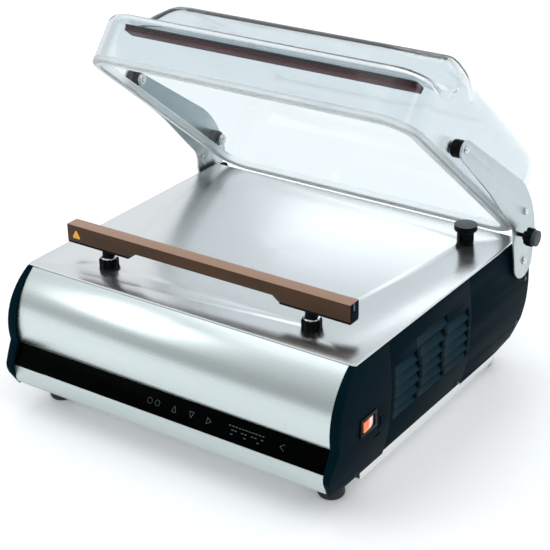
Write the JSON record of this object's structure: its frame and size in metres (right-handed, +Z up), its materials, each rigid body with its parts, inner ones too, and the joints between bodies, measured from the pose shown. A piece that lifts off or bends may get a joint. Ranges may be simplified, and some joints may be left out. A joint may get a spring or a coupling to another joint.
{
  "type": "vacuum sealer",
  "caption": "Table-top vacuum sealer with a hinged clear dome, a lifting sealing bar, a suction nozzle, a sloping touch panel and louvred sides.",
  "frame": {"origin": "on the table, midway across the machine and midway between the front-most and rear-most points at rest", "axes": "+X to the right seen from the front, +Y to the rear, +Z up"},
  "size_m": [0.5183, 0.5184, 0.4569],
  "materials": {
    "plate_steel": "fine brushed",
    "band_steel": "brushed",
    "frame_steel": "zinc grey",
    "side_plastic": "fine texture",
    "black_gloss": "gloss",
    "board_green": "lacquered",
    "rubber_black": "matt",
    "fastener_steel": "plated",
    "dark_fastener": "blacked",
    "clear_acrylic": "polished",
    "silicone_grey": "satin",
    "silicone_red": "satin",
    "arm_steel": "satin",
    "bush_plastic": "matt",
    "bar_aluminium": "satin",
    "tape_brown": "woven, satin",
    "carrier_plastic": "matt",
    "rocker_orange": "lit",
    "pump_grey": "painted",
    "motor_aluminium": "cast",
    "coil_copper": "enamelled",
    "hose_rubber": "matt",
    "brass_contact": "plain"
  },
  "bodies": {
    "base": {"top_plate": "plate_steel", "front_panel": "band_steel", "control_panel": "black_gloss", "control_board": "board_green", "front_skirt": "band_steel", "front_cheek_right": "side_plastic", "front_cheek_left": "side_plastic", "vent_panel_right": "side_plastic", "vent_panel_left": "side_plastic", "rear_cheek_right": "side_plastic", "rear_cheek_left": "side_plastic", "rear_panel": "band_steel", "power_inlet": "bush_plastic", "inlet_blades": "brass_contact", "base_tray": "band_steel", "foot_front_left": "rubber_black", "foot_front_right": "rubber_black", "foot_rear_left": "rubber_black", "foot_rear_right": "rubber_black", "foot_screws": "fastener_steel", "frame_side_right": "frame_steel", "frame_side_left": "frame_steel", "frame_cross": "frame_steel", "hinge_bush_right": "bush_plastic", "hinge_bush_left": "bush_plastic", "lid_springs": "fastener_steel", "lift_cylinders": "bar_aluminium", "guide_sleeves": "bush_plastic", "suction_nozzle": "bush_plastic", "switch_housing": "bush_plastic", "cover_screws": "dark_fastener", "vacuum_pump": "pump_grey", "pump_motor": "motor_aluminium", "transformer_core": "frame_steel", "transformer_coil": "coil_copper", "solenoid_valve": "brass_contact", "suction_hose": "hose_rubber"},
    "lid": {"lid_dome": "clear_acrylic", "lid_gasket": "silicone_grey", "counter_bar_holder": "bush_plastic", "counter_bar_strip": "silicone_red", "lid_arm_right": "arm_steel", "lid_arm_left": "arm_steel", "arm_spacers": "bush_plastic", "arm_screws": "fastener_steel", "arm_nuts": "fastener_steel", "arm_stay_screw": "fastener_steel", "hinge_shaft": "fastener_steel", "pivot_screws": "fastener_steel"},
    "seal_bar": {"seal_bar_core": "bar_aluminium", "wire_carrier": "carrier_plastic", "heating_strip": "fastener_steel", "bar_tape": "tape_brown", "bar_foot_left": "bush_plastic", "bar_foot_right": "bush_plastic", "lift_rods": "fastener_steel", "bar_nuts": "dark_fastener"},
    "rocker": {"switch_rocker": "rocker_orange"},
    "knob_right": {"knob_right": "bush_plastic"},
    "fan": {"motor_fan": "bush_plastic"}
  },
  "joints": [
    {"name": "lid_hinge", "type": "hinge", "parent": "base", "child": "lid", "pos_m": [-0.0115, 0.17935, 0.15], "axis": [1, 0, 0], "range_deg": [0, 39.3], "stiffness_Nm_per_rad": 18, "springref_deg": -40.11},
    {"name": "seal_bar_lift", "type": "slide", "parent": "base", "child": "seal_bar", "axis": [0, 0, 1], "range_m": [0, 0.008]},
    {"name": "switch_tilt", "type": "hinge", "parent": "base", "child": "rocker", "pos_m": [0.2273, -0.18665, 0.098], "axis": [0, 0, 1], "range_deg": [-14, 0]},
    {"name": "knob_right_turn", "type": "hinge", "parent": "lid", "child": "knob_right", "pos_m": [0.2485, 0.15783, 0.19475], "axis": [1, 0, 0], "continuous": true},
    {"name": "fan_spin", "type": "hinge", "parent": "base", "child": "fan", "pos_m": [-0.1315, 0.065, 0.0666], "axis": [1, 0, 0], "continuous": true}
  ]
}
